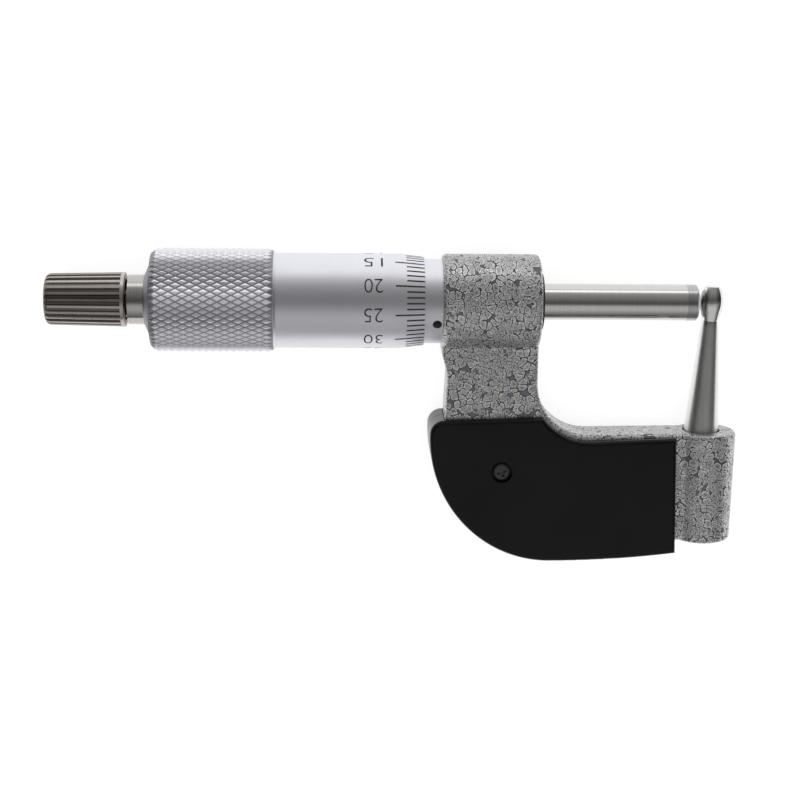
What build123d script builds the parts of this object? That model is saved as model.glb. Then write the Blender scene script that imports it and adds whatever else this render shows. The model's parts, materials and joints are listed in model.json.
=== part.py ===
from build123d import *
import os
from math import asin, atan2, cos, degrees, hypot, pi, radians, sin, sqrt, tan

os.makedirs("parts", exist_ok=True)

# Tube micrometer, 0 to 25 mm, lying on its front side with its back side up.
# Every piece is drawn in the tool's own directions and laid down at the end:
# X runs along the spindle towards the anvil, Y from the frame's arm up to the spindle
# and Z out of the back side. The origin is the anvil's contact point on the spindle axis.

# Spindle and measuring faces
reading = 0.52
travel = 25.0
spindle_d = 6.5
tip_length = 2.1
face_chamfer = 0.3
thread_step = 0.25
running_clearance = 0.02
cone_end_gap = 0.1
thread_runout = 0.2
drill_point_angle = 30.0

# Barrel boss of the frame, with the plate below it
boss_right = -29.0
boss_length = 17.5
boss_round = 1.0
plate_t = 8.0
plate_round = 0.8
neck_end_inset = 0.15
neck_left_inset = 1.75
neck_flare = 1.17
neck_lip_low = 9.2
neck_waist = 12.6
neck_round = 4.0
valley_round = 1.6
arm_top = -23.7
arm_rise = 0.3
throat_radius = 9.5
frame_low = -44.35

# Anvil boss and the post in it
anvil_boss_d = 11.4
anvil_boss_x = 1.9
anvil_boss_top = -23.45
anvil_boss_low = -43.7
anvil_boss_draft = 0.8
anvil_boss_round = 0.7
anvil_valley_round = 1.2
post_lean = 2.05
post_base_d = 6.2
post_neck_d = 3.06
post_neck_y = -3.2
head_d = 4.34
head_curve_r = 5.6
head_top = 3.0
head_shoulder_y = -1.2
post_depth = 14.0
post_rim_d = 6.8
post_rim_depth = 1.2
glue_gap = 0.02

# Moulded covers, a back and a front half
cover_t = 5.6
cover_overhang = 2.5
cover_low = -46.95
cover_right = -4.0
cover_right_low = -45.45
cover_right_flare = 0.65
cover_arm_rise = 0.7
cover_curve_x = -26.5
cover_curve_y = -23.75
cover_top_left = -20.85
cover_top_right = -20.25
cover_corner = 2.6
cover_edge_round = 0.8
cover_set_back = 0.9
cover_clearance = 0.1
seam_gap = 0.12

# Screw that joins the two covers through the frame
screw_x = -35.4
screw_y = -30.2
screw_d = 2.0
screw_head_d = 3.1
screw_head_t = 1.0
screw_sink = 0.25
counterbore_d = 3.85
cover_boss_d = 5.0
recess_width = 0.5
recess_length = 1.8
recess_depth = 0.55
recess_turn = 20.0

# Guide sleeve inside the barrel, with its slotted nut end. Each wall and step is on the
# radius, from the spindle outwards
guide_wall = 1.75
guide_step = 1.0
guide_nose = 0.6
guide_bush_length = 14.5
barrel_core_length = 23.7
nut_taper_length = 14.0
nut_thread_length = 12.0
nut_step = 0.5
nut_taper_drop = 0.5
relief_step = 0.25
slot_width = 0.8
slot_count = 3
ring_wall = 1.1
ring_length = 4.6
ring_notch = 1.4
thread_clearance = 0.02

# Graduated sleeve
sleeve_step = 1.0
sleeve_wall = 1.5
sleeve_length = 30.7
spanner_hole_d = 1.65
spanner_hole_inset = 1.0
index_angle = 23.5
zero_mark_inset = 2.68

# Thimble with its diamond knurl
thimble_wall = 0.95
edge_drop = 0.59
bevel_start = 7.6
bevel_arc_end = 2.3
bevel_arc_drop = 0.32
thimble_clearance = 0.05
thimble_bore_relief = 0.15
lip_length = 6.0
end_wall_length = 10.7
smooth_length = 26.6
knurl_rise = 0.8
knurl_depth = 0.48
knurl_length = 21.75
knurl_chamfer = 0.4
knurl_lip = 0.06
diamond_count = 48
diamond_length = 2.47
knurl_end_drop = 0.47
end_face_r = 4.5
end_cone_length = 1.2
end_cone_r = 7.1
end_cone_sink = 0.4
cone_big_r = 4.6
cone_small_r = 4.0
cone_length = 8.9

# Ratchet stop
collar_d = 8.85
collar_length = 2.8
spigot_d = 6.4
stem_screw_d = 4.0
stem_screw_length = 7.0
stem_shaft_d = 4.4
stem_flat = 3.6
knob_gap = 0.5
knob_length = 14.2
knob_d_right = 9.6
knob_d_left = 9.1
knob_end_round = 1.1
rim_d = 9.75
rim_length = 0.7
rim_round = 0.2
groove_count = 24
groove_width = 0.86
groove_floor = 0.4
groove_depth = 0.36
knob_bore_d = 7.4
knob_bore_depth = 5.2
web_length = 5.6
knob_recess_d = 6.4
tooth_count = 12
tooth_height = 0.45
tooth_gap = 0.05
tooth_share = 0.8
tooth_inner_r = 2.5
ring_base = 1.2
spring_wire = 0.5
spring_mean_r = 2.9
spring_turns = 2.75
spring_sides = 6
washer_d = 5.4
washer_t = 0.4
end_screw_d = 2.0
end_screw_length = 4.5
end_head_d = 4.6
end_head_t = 1.5
end_slot = 0.6
end_slot_depth = 0.7
end_head_chamfer = 0.3

# Spindle lock on the front side of the barrel boss
lock_inset = 10.3
lock_flat = 7.0
lock_flat_margin = 0.5
lever_gap = 0.1
lever_hub_d = 7.2
lever_bore_d = 2.4
lever_arm = 8.2
lever_tip_d = 3.0
lever_chamfer = 0.3
lock_screw_d = 3.0
lock_screw_head_d = 4.4
lock_screw_head_t = 0.7
lock_slot = 0.6
pad_d = 2.4
pad_gap = 0.05

# How far a cutter runs past the face that it opens, what counts as the same place,
# and the angle of a quarter
overrun = 1.0
near = 1e-3
quarter_angle = 90

# Places that follow from the sizes above
boss_left = boss_right - boss_length
neck_right = boss_right - neck_end_inset
neck_left_top = boss_left + neck_left_inset
neck_left_low = neck_left_top - neck_flare
cover_left = neck_left_low - cover_overhang
thread_d = spindle_d + 2 * thread_step
guide_d = spindle_d + 2 * guide_wall
barrel_core_d = guide_d + 2 * guide_step
sleeve_d = barrel_core_d + 2 * sleeve_wall
boss_d = sleeve_d + 2 * sleeve_step
nut_taper_big_d = barrel_core_d - 2 * nut_step
nut_taper_small_d = nut_taper_big_d - 2 * nut_taper_drop
ring_d = nut_taper_big_d + 2 * ring_wall
relief_d = thread_d + 2 * relief_step
thimble_d = sleeve_d + 2 * thimble_wall
knurl_d = thimble_d + 2 * knurl_rise
barrel_core_end = boss_left - barrel_core_length
nut_end = barrel_core_end - nut_taper_length
sleeve_end = boss_left - sleeve_length
spanner_hole_x = boss_left - spanner_hole_inset
thimble_front = boss_left - zero_mark_inset - reading
knurl_right = thimble_front - smooth_length
knurl_left = knurl_right - knurl_length
end_face_x = knurl_left - end_cone_length
lock_x = boss_left + lock_inset
face_x = -reading
tip_back = face_x - tip_length
knurl_r = knurl_d / 2
guide_right = boss_right + guide_nose
guide_left = guide_right - guide_bush_length
cone_right = end_face_x + end_wall_length
cone_left = cone_right - cone_length
collar_left = end_face_x - collar_length
knob_right = collar_left - knob_gap
knob_left = knob_right - knob_length
web_right = knob_right - knob_bore_depth
web_left = web_right - web_length
shaft_end = web_left - tooth_gap
ring_root = web_right + tooth_height + tooth_gap
ring_back = ring_root + ring_base


def laid_roll():
    """Degrees that the tool rolls about the spindle axis until the knurl and the front
    cover's lower edge lie on one level."""
    reach_y = -(cover_low + cover_edge_round)
    reach_z = cover_t - cover_edge_round
    drop = knurl_r - cover_edge_round
    return degrees(asin(drop / hypot(reach_y, reach_z)) - atan2(reach_z, reach_y))


roll = laid_roll()
hub_face_r = lever_hub_d / 2 - lever_chamfer
lever_face = (knurl_r - hub_face_r * sin(radians(roll))) / cos(radians(roll))


def turned(*profile):
    """Solid of revolution about the spindle axis, from (x, radius) points."""
    return revolve(make_face(Polyline(*profile, close=True)), Axis.X)


def rod(x_from, x_to, diameter):
    """Cylinder along the spindle axis between two places."""
    return Pos(min(x_from, x_to), 0, 0) * extrude(Plane.YZ * Circle(diameter / 2), abs(x_to - x_from))


def upright(x, y_low, y_high, diameter):
    """Cylinder along Y."""
    lower = Plane((x, y_low, 0), z_dir=(0, 1, 0))
    return extrude(lower * Circle(diameter / 2), y_high - y_low)


def across(x, y, z_from, z_to, diameter):
    """Cylinder along Z."""
    return Pos(x, y, min(z_from, z_to)) * extrude(Circle(diameter / 2), abs(z_to - z_from))


def hidden_curve(radius_x, radius_y):
    """Quarter ellipse from the left side down to the base."""
    middle = (cover_curve_x, cover_curve_y)
    return EllipticalCenterArc(middle, radius_x, radius_y, 2 * quarter_angle, arc_size=quarter_angle)


def frame_outline(grow=0.0):
    """Side view of the frame: neck, throat and arm, with the hidden curve below."""
    radius_x = cover_curve_x - neck_left_low + grow
    radius_y = cover_curve_y - frame_low + grow
    left, right = boss_left + neck_end_inset - grow, neck_right + grow
    waist_x = neck_left_top - neck_flare * neck_waist / -cover_curve_y - grow
    low_left = (neck_left_low - grow, cover_curve_y)
    arm_y, bend = arm_top + grow, throat_radius - grow
    low_right = (anvil_boss_x, anvil_boss_low + anvil_boss_round - grow)
    neck = Polyline(
        (right, arm_y + bend), (right, 0), (left, 0), (left, -neck_lip_low), (waist_x, -neck_waist), low_left
    )
    curve = hidden_curve(radius_x, radius_y)
    base = TangentArc(curve @ 1, low_right, tangent=(1, 0))
    arm = Polyline(low_right, (anvil_boss_x, arm_y + arm_rise), (right + bend, arm_y))
    throat = ThreePointArc(
        arm @ 1,
        (right + bend * (1 - cos(pi / 4)), arm_y + bend * (1 - sin(pi / 4))),
        (right, arm_y + bend),
    )
    outline = make_face([neck, curve, base, arm, throat])
    lip = [v for v in outline.vertices() if v.X < neck_left_top and -neck_waist - near < v.Y < -near]
    return fillet(lip, neck_round)


def cover_outline():
    """Side view of a cover: it follows the throat a little below its edge."""
    centre_x, centre_y = neck_right + throat_radius, arm_top + throat_radius
    radius = throat_radius + cover_set_back
    meet_x = centre_x - sqrt(radius**2 - (centre_y - cover_top_right) ** 2)
    bend_end = (centre_x, centre_y - radius)
    meet_angle = atan2(cover_top_right - centre_y, meet_x - centre_x)
    middle = (meet_angle - pi / 2) / 2
    radius_x, radius_y = cover_curve_x - cover_left, cover_curve_y - cover_low
    curve = hidden_curve(radius_x, radius_y)
    low_right = (cover_right + cover_right_flare, cover_right_low)
    base = TangentArc(curve @ 1, low_right, tangent=(1, 0))
    edge = Polyline(low_right, (cover_right, bend_end[1] + cover_arm_rise), bend_end)
    throat = ThreePointArc(
        bend_end,
        (centre_x + radius * cos(middle), centre_y + radius * sin(middle)),
        (meet_x, cover_top_right),
    )
    top = Polyline((meet_x, cover_top_right), (cover_left, cover_top_left), (cover_left, cover_curve_y))
    outline = make_face([curve, base, edge, throat, top])
    corner = outline.vertices().group_by(Axis.X)[0].sort_by(Axis.Y)[-1]
    return fillet(corner, cover_corner)


def make_frame():
    plate = extrude(frame_outline(), plate_t / 2, both=True)
    rims = [e for e in plate.edges() if abs(abs(e.center().Z) - plate_t / 2) < near]
    plate = fillet(rims, plate_round)
    barrel = rod(boss_left, boss_right, boss_d)
    barrel = fillet(barrel.edges().filter_by(GeomType.CIRCLE), boss_round)
    lean = (anvil_boss_top - anvil_boss_low) * tan(radians(anvil_boss_draft))
    column = Plane((anvil_boss_x, anvil_boss_low, 0), z_dir=(0, 1, 0)) * Cone(
        anvil_boss_d / 2 - lean,
        anvil_boss_d / 2,
        anvil_boss_top - anvil_boss_low,
        align=(Align.CENTER, Align.CENTER, Align.MIN),
    )
    column = fillet(column.edges().filter_by(GeomType.CIRCLE), anvil_boss_round)
    frame = plate + barrel
    valleys = [
        e
        for e in frame.edges().filter_by(Axis.X)
        if -boss_d / 2 < e.center().Y < -near
        and e.length > boss_length / 2
        and abs(e.center().Z) > plate_t / 2 - near
    ]
    frame = fillet(valleys, valley_round)
    frame += column
    joins = [
        e
        for e in frame.edges()
        if anvil_boss_x - anvil_boss_d < e.center().X < anvil_boss_x
        and e.length > (anvil_boss_top - anvil_boss_low) / 2
        and abs(e.center().Z) > plate_t / 2 - near
    ]
    frame = fillet(joins, anvil_valley_round)
    frame -= rod(boss_left - overrun, boss_right + overrun, guide_d)
    flat_right = lock_x + lever_hub_d / 2 + lock_flat_margin
    frame -= Pos(flat_right, 0, -lock_flat) * Box(
        boss_length, boss_d, boss_d, align=(Align.MAX, Align.CENTER, Align.MAX)
    )
    frame -= across(lock_x, 0, 0, -boss_d, lock_screw_d + 2 * running_clearance)
    frame -= across(screw_x, screw_y, -plate_t, plate_t, cover_boss_d + 2 * cover_clearance)
    frame -= post_place() * post_hole()
    return frame


def head_middle():
    """Height on the post of the head's widest place, so that it meets the spindle axis."""
    return (head_curve_r - head_d / 2) * tan(radians(post_lean))


def head_radius(height):
    """Radius of the barrel-shaped head at a height along the post."""
    return head_d / 2 - head_curve_r + sqrt(head_curve_r**2 - (height - head_middle()) ** 2)


def post_place():
    """Where the anvil post stands: leaning outwards, with its head's contact at the origin."""
    lean = radians(post_lean)
    centre_x = (head_curve_r - head_d / 2) * cos(lean) + head_middle() * sin(lean)
    return Pos(head_curve_r - centre_x, 0, 0) * Rot(0, 0, -post_lean)


def post_hole():
    seat_low = anvil_boss_top - post_depth
    seat = upright(0, seat_low, 0, post_base_d + 2 * glue_gap)
    return seat + upright(0, anvil_boss_top - post_rim_depth, 0, post_rim_d)


def make_anvil_post():
    """One turned piece: a tapered post with a barrel-shaped head."""
    foot = anvil_boss_top - post_depth + glue_gap
    base_r, neck_r, top_r = post_base_d / 2, post_neck_d / 2, head_radius(head_top)
    shoulder = (head_radius(head_shoulder_y), head_shoulder_y)
    stem = Polyline(
        (0, head_top), (0, foot), (base_r, foot), (base_r, anvil_boss_top), (neck_r, post_neck_y), shoulder
    )
    head = ThreePointArc(shoulder, (head_d / 2, head_middle()), (top_r, head_top))
    profile = make_face([stem, head, Line((top_r, head_top), (0, head_top))])
    return post_place() * revolve(profile, Axis.Y)


def make_cover(side):
    """Half shell round the frame. side is 1 for the back and -1 for the front."""
    shell = extrude(cover_outline(), cover_t)
    rim = shell.faces().sort_by(Axis.Z)[-1].edges()
    shell = fillet(rim, cover_edge_round)
    shell -= extrude(cover_outline(), seam_gap / 2)
    shell -= extrude(frame_outline(cover_clearance), plate_t / 2 + cover_clearance)
    if side < 0:
        shell = mirror(shell, Plane.XY)
        boss_top = plate_t / 2 - cover_clearance
        shell += across(screw_x, screw_y, -cover_t + cover_edge_round, boss_top, cover_boss_d)
        shell -= across(screw_x, screw_y, -plate_t / 2, boss_top, screw_d + 2 * running_clearance)
        return shell
    seat = cover_t - screw_sink - screw_head_t
    shell -= across(screw_x, screw_y, seat, cover_t, counterbore_d)
    shell -= across(screw_x, screw_y, 0, cover_t, screw_d + 2 * cover_clearance)
    return shell


def cross_recess(depth, length, width):
    """Cross-shaped cutter that points down from the origin."""
    bar = Box(length, width, depth, align=(Align.CENTER, Align.CENTER, Align.MAX))
    return bar + Rot(0, 0, 90) * bar


def make_cover_screw():
    top = cover_t - screw_sink
    head = across(screw_x, screw_y, top - screw_head_t, top, screw_head_d)
    head = fillet(head.edges().group_by(Axis.Z)[-1], screw_head_t / 2)
    shank = across(screw_x, screw_y, -plate_t / 2 + cover_clearance, top - screw_head_t, screw_d)
    cut = cross_recess(recess_depth, recess_length, recess_width)
    return head + shank - Pos(screw_x, screw_y, top) * Rot(0, 0, recess_turn) * cut


def make_guide_sleeve():
    """Hardened guide: bush in the boss, core of the barrel, and the slotted nut."""
    guide_r, core_r = guide_d / 2, barrel_core_d / 2
    bore_r = spindle_d / 2 + running_clearance
    nut_r = thread_d / 2 + thread_clearance
    nut_right = nut_end + nut_thread_length
    sleeve = turned(
        (guide_right, bore_r),
        (guide_right, guide_r),
        (boss_left, guide_r),
        (boss_left, core_r),
        (barrel_core_end, core_r),
        (barrel_core_end, nut_taper_big_d / 2),
        (nut_end, nut_taper_small_d / 2),
        (nut_end, nut_r),
        (nut_right, nut_r),
        (nut_right, relief_d / 2),
        (guide_left, relief_d / 2),
        (guide_left, bore_r),
    )
    slot_length = nut_thread_length + overrun
    for i in range(slot_count):
        slot = Box(slot_length, slot_width, core_r * 2, align=(Align.MIN, Align.CENTER, Align.MIN))
        sleeve -= Rot(360 / slot_count * i, 0, 0) * Pos(nut_end - overrun, 0, 0) * slot
    sleeve -= across(lock_x, 0, 0, -guide_d, pad_d + 2 * running_clearance)
    return sleeve


def nut_taper_r(x):
    """Radius of the guide sleeve's taper at a place along the axis."""
    share = (x - nut_end) / (barrel_core_end - nut_end)
    return (nut_taper_small_d + share * (nut_taper_big_d - nut_taper_small_d)) / 2


def make_adjusting_nut():
    left, right = nut_end + thread_clearance, nut_end + ring_length
    nut = turned(
        (left, nut_taper_r(left) + thread_clearance),
        (left, ring_d / 2),
        (right, ring_d / 2),
        (right, nut_taper_r(right) + thread_clearance),
    )
    notch = Pos(left, 0, 0) * Box(2 * ring_notch, ring_notch, ring_d * 2)
    return nut - notch


def make_graduated_sleeve():
    bore_d = barrel_core_d + 2 * running_clearance
    sleeve = rod(sleeve_end, boss_left, sleeve_d)
    sleeve -= rod(sleeve_end - overrun, boss_left + overrun, bore_d)
    hole = Pos(spanner_hole_x, 0, 0) * Cylinder(
        spanner_hole_d / 2, sleeve_d, align=(Align.CENTER, Align.CENTER, Align.MIN)
    )
    return sleeve - Rot(index_angle, 0, 0) * hole


def make_spindle():
    """Measuring rod, thread and the cone that the thimble is drawn onto."""
    front_r, thread_r = spindle_d / 2, thread_d / 2
    thread_right = nut_end + nut_thread_length + travel
    thread_left = cone_right + thread_runout
    big_r, small_r = cone_big_r - running_clearance, cone_small_r - running_clearance
    hole_r = stem_screw_d / 2 + running_clearance
    hole_right = cone_left + stem_screw_length + overrun
    return turned(
        (tip_back, 0),
        (tip_back, front_r),
        (thread_right + (thread_r - front_r), front_r),
        (thread_right, thread_r),
        (thread_left, thread_r),
        (cone_right, big_r),
        (cone_left + cone_end_gap, small_r),
        (cone_left + cone_end_gap, hole_r),
        (hole_right, hole_r),
        (hole_right + hole_r * tan(radians(drill_point_angle)), 0),
    )


def make_spindle_tip():
    tip = rod(tip_back, face_x, spindle_d)
    return chamfer(tip.edges().group_by(Axis.X)[-1], face_chamfer)


def knurl_solid():
    """Diamond knurl: a lattice of crossing valleys with a peak inside each diamond.
    Rows lie half a diamond apart, and valley crossings and peaks take turns on each."""
    length = knurl_right - knurl_left
    rows = round(2 * length / diamond_length)
    columns = 2 * diamond_count
    step = 2 * pi / columns

    def point(row, column):
        inner = 0 < row < rows
        peak = (row + column) % 2 == 1 and inner
        radius = knurl_r if peak else knurl_r - knurl_depth
        if row == 0:
            radius -= knurl_end_drop
        angle = step * (column % columns)
        return Vector(knurl_left + length * row / rows, radius * cos(angle), radius * sin(angle))

    faces = []
    for row in range(rows):
        for column in range(columns):
            near, far = point(row, column), point(row, column + 1)
            next_near, next_far = point(row + 1, column), point(row + 1, column + 1)
            if (row + column) % 2 == 1:
                corners = [(near, next_near, far), (next_near, next_far, far)]
            else:
                corners = [(near, next_near, next_far), (near, next_far, far)]
            faces += [Face(Wire.make_polygon(c, close=True)) for c in corners]
    for row in (0, rows):
        ring = [point(row, column) for column in range(columns)]
        faces.append(Face(Wire.make_polygon(ring, close=True)))
    return Solid(Shell(faces))


def make_thimble():
    thimble_r, sleeve_r = thimble_d / 2, sleeve_d / 2
    band_r = knurl_r - knurl_depth - knurl_lip
    bore_r = sleeve_r + thimble_clearance
    relief_r = bore_r + thimble_bore_relief
    bevel_x, arc_x = thimble_front - bevel_start, thimble_front - bevel_arc_end
    arc_r, edge_r = thimble_r - bevel_arc_drop, thimble_r - edge_drop
    seat_r = spigot_d / 2 + running_clearance
    cone_slope = (end_cone_r - end_face_r) / end_cone_length
    outside = Polyline(
        (end_face_x, 0),
        (end_face_x, end_face_r),
        (knurl_left + end_cone_sink, end_cone_r + end_cone_sink * cone_slope),
    )
    waist = Polyline(
        outside @ 1,
        (knurl_left + diamond_length / 2, thimble_r),
        (bevel_x, thimble_r),
    )
    bevel = TangentArc(waist @ 1, (arc_x, arc_r), tangent=(1, 0))
    lip = Polyline(bevel @ 1, (thimble_front, edge_r), (thimble_front, 0), (end_face_x, 0))
    body = revolve(make_face([outside, waist, bevel, lip]), Axis.X)
    band_end = turned(
        (knurl_right - knurl_chamfer, 0),
        (knurl_right - knurl_chamfer, band_r),
        (knurl_right, band_r),
        (knurl_right + knurl_chamfer, thimble_r),
        (knurl_right + knurl_chamfer, 0),
    )
    inside = turned(
        (thimble_front + overrun, 0),
        (thimble_front + overrun, bore_r),
        (thimble_front - lip_length, bore_r),
        (thimble_front - lip_length, relief_r),
        (cone_right, relief_r),
        (cone_right, cone_big_r),
        (cone_left, cone_small_r),
        (cone_left, seat_r),
        (end_face_x - overrun, seat_r),
        (end_face_x - overrun, 0),
    )
    return body + band_end + knurl_solid() - inside


def make_ratchet_stem():
    """Collar against the thimble, screw into the spindle, flatted shaft for the ring."""
    collar = rod(collar_left, end_face_x, collar_d)
    spigot = rod(end_face_x, cone_left, spigot_d)
    thread = rod(cone_left, cone_left + stem_screw_length, stem_screw_d)
    shaft = rod(shaft_end, collar_left, stem_shaft_d) - ring_keep()
    hole = rod(shaft_end - overrun, shaft_end + end_screw_length, end_screw_d + 2 * thread_clearance)
    return collar + spigot + thread + shaft - hole


def ring_keep(clearance=0.0):
    """Two blocks beside the flats that key the ratchet ring to its shaft."""
    flats = stem_flat / 2 + clearance
    length = collar_left - web_right
    block = Pos(web_right, 0, flats) * Box(
        length, stem_shaft_d, stem_shaft_d, align=(Align.MIN, Align.CENTER, Align.MIN)
    )
    return block + mirror(block, Plane.XY)


def ratchet_teeth(root_x, grow):
    """Saw teeth round the ring that point away from the collar. grow widens each tooth."""
    outer_r = knob_bore_d / 2 - tooth_gap
    pitch = 2 * pi * outer_r / tooth_count
    width = pitch * tooth_share
    profile = Polyline(
        (root_x, -width / 2 - grow),
        (root_x - tooth_height - grow, -width / 2 - grow),
        (root_x, width / 2 + grow),
        close=True,
    )
    tooth = extrude(make_face(profile), outer_r + 2 * grow)
    reach = outer_r + overrun
    spread = outer_r * tan(pi / tooth_count)
    slice_outline = Polyline((0, 0), (-spread, reach), (spread, reach), close=True)
    wedge = extrude(Plane.YZ * make_face(slice_outline), knob_length)
    tooth &= Pos(root_x - knob_length / 2, 0, 0) * wedge
    teeth = tooth
    for i in range(1, tooth_count):
        teeth += Rot(360 / tooth_count * i, 0, 0) * tooth
    return teeth


def make_ratchet_ring():
    outer_r = knob_bore_d / 2 - tooth_gap
    disc = rod(ring_root, ring_back, 2 * outer_r)
    shaft = rod(ring_root - overrun, ring_back + overrun, stem_shaft_d + 2 * running_clearance)
    hole = shaft - ring_keep(running_clearance)
    teeth_left = ring_root - overrun
    band = rod(teeth_left, ring_root, 2 * outer_r) - rod(teeth_left, ring_root, 2 * tooth_inner_r)
    return disc - hole + (ratchet_teeth(ring_root, 0) & band)


def make_ratchet_spring():
    """Coil that presses the toothed ring against the knob."""
    room = collar_left - ring_back
    height = room - spring_wire - 2 * tooth_gap
    coil = Helix(pitch=height / spring_turns, height=height, radius=spring_mean_r)
    start = Plane(origin=coil @ 0, z_dir=coil % 0)
    wire = sweep(start * RegularPolygon(spring_wire / 2, spring_sides), path=coil, is_frenet=True)
    along = Plane((ring_back + spring_wire / 2 + tooth_gap, 0, 0), x_dir=(0, 1, 0), z_dir=(1, 0, 0))
    return along * wire


def make_ratchet_knob():
    right_r, left_r, rim_r = knob_d_right / 2, knob_d_left / 2, rim_d / 2
    grip_right = knob_right - rim_length
    body = turned(
        (knob_left, 0),
        (knob_left, left_r),
        (grip_right, right_r),
        (grip_right, rim_r),
        (knob_right, rim_r),
        (knob_right, 0),
    )
    body = fillet(body.edges().filter_by(GeomType.CIRCLE).group_by(Axis.X)[0], knob_end_round)
    body = fillet(body.edges().filter_by(GeomType.CIRCLE).group_by(Axis.X)[-1], rim_round)
    slope = atan2(right_r - left_r, grip_right - knob_left)
    section = make_face(
        Polyline(
            (-groove_width / 2, groove_depth),
            (-groove_floor / 2, 0),
            (groove_floor / 2, 0),
            (groove_width / 2, groove_depth),
            close=True,
        )
    )
    length = (grip_right - knob_left) / cos(slope)
    cutter = extrude(Plane((0, 0, 0), x_dir=(0, 1, 0), z_dir=(1, 0, 0)) * section, length)
    cutter = Pos(knob_left, 0, left_r - groove_depth) * Rot(0, -degrees(slope), 0) * cutter
    grooves = [Rot(360 / groove_count * i, 0, 0) * cutter for i in range(groove_count)]
    body -= grooves
    land_x = web_right + tooth_height
    cavity = rod(land_x, knob_right + overrun, knob_bore_d)
    inner = rod(web_right, land_x, 2 * (tooth_inner_r - tooth_gap))
    shaft = rod(knob_left, knob_right, stem_shaft_d + 2 * thimble_clearance)
    recess = rod(knob_left - overrun, web_left, knob_recess_d)
    body = body - cavity - inner - shaft - recess
    return body - ratchet_teeth(ring_root, tooth_gap)


def make_ratchet_washer():
    left = shaft_end - washer_t
    return rod(left, shaft_end, washer_d) - rod(left, shaft_end, end_screw_d + 2 * thread_clearance)


def make_ratchet_screw():
    head_right = shaft_end - washer_t
    head_left = head_right - end_head_t
    head = rod(head_left, head_right, end_head_d)
    head = chamfer(head.edges().group_by(Axis.X)[0], end_head_chamfer)
    slot = Pos(head_left, 0, 0) * Box(2 * end_slot_depth, end_slot, end_head_d * 2)
    return head - slot + rod(head_right, head_right + end_screw_length, end_screw_d)


def make_lock_lever():
    """Flat lever over the milled flat, pointing along the barrel."""
    inner = lock_flat + lever_gap
    hub = across(lock_x, 0, -lever_face, -inner, lever_hub_d)
    tip = across(lock_x - lever_arm, 0, -lever_face, -inner, lever_tip_d)
    arm = Pos(0, 0, -lever_face) * extrude(
        make_hull(
            [
                *(Pos(lock_x, 0) * Circle(hub_face_r)).edges(),
                *(Pos(lock_x - lever_arm, 0) * Circle(lever_tip_d / 2)).edges(),
            ]
        ),
        lever_face - inner,
    )
    lever = hub + tip + arm
    lever = chamfer(lever.edges().group_by(Axis.Z)[0], lever_chamfer)
    lever -= across(lock_x, 0, -lever_face, -inner, lever_bore_d + 2 * glue_gap)
    seat = -lever_face + lock_screw_head_t
    return lever - across(lock_x, 0, -lever_face, seat, lock_screw_head_d + 2 * glue_gap)


def make_lock_screw():
    inner = lock_flat + lever_gap / 2
    pad_back = guide_d / 2 + lever_gap
    thread = across(lock_x, 0, -inner, -pad_back, lock_screw_d)
    neck = across(lock_x, 0, -lever_face, -inner, lever_bore_d)
    head = across(lock_x, 0, -lever_face + lever_gap, -lever_face + lock_screw_head_t, lock_screw_head_d)
    slot = Pos(lock_x, 0, -lever_face) * Box(lock_screw_head_d * 2, lock_slot, lock_screw_head_t)
    return thread + neck + head - slot


def make_lock_pad():
    return across(lock_x, 0, -spindle_d / 2 - pad_gap, -guide_d / 2 - pad_gap, pad_d)


pieces = {
    "frame": make_frame(),
    "anvil_post": make_anvil_post(),
    "guide_sleeve": make_guide_sleeve(),
    "adjusting_nut": make_adjusting_nut(),
    "graduated_sleeve": make_graduated_sleeve(),
    "spindle": make_spindle(),
    "spindle_tip": make_spindle_tip(),
    "thimble": make_thimble(),
    "ratchet_stem": make_ratchet_stem(),
    "ratchet_ring": make_ratchet_ring(),
    "ratchet_spring": make_ratchet_spring(),
    "ratchet_knob": make_ratchet_knob(),
    "ratchet_washer": make_ratchet_washer(),
    "ratchet_screw": make_ratchet_screw(),
    "back_cover": make_cover(1),
    "front_cover": make_cover(-1),
    "cover_screw": make_cover_screw(),
    "lock_lever": make_lock_lever(),
    "lock_screw": make_lock_screw(),
    "lock_pad": make_lock_pad(),
}

for name, piece in pieces.items():
    export_step(Rot(roll, 0, 0) * piece, f"parts/{name}.step")
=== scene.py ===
# Tube micrometer: finishes, scale marks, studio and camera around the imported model.
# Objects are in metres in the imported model's frame. Sizes written here are millimetres
# in the tool's own directions: X along the spindle towards the anvil, Y up the frame,
# Z out of the back side. laid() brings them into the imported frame.
import json
from math import atan2, cos, pi, radians, sin, sqrt

import bmesh
import bpy
from mathutils import Matrix, Vector


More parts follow.
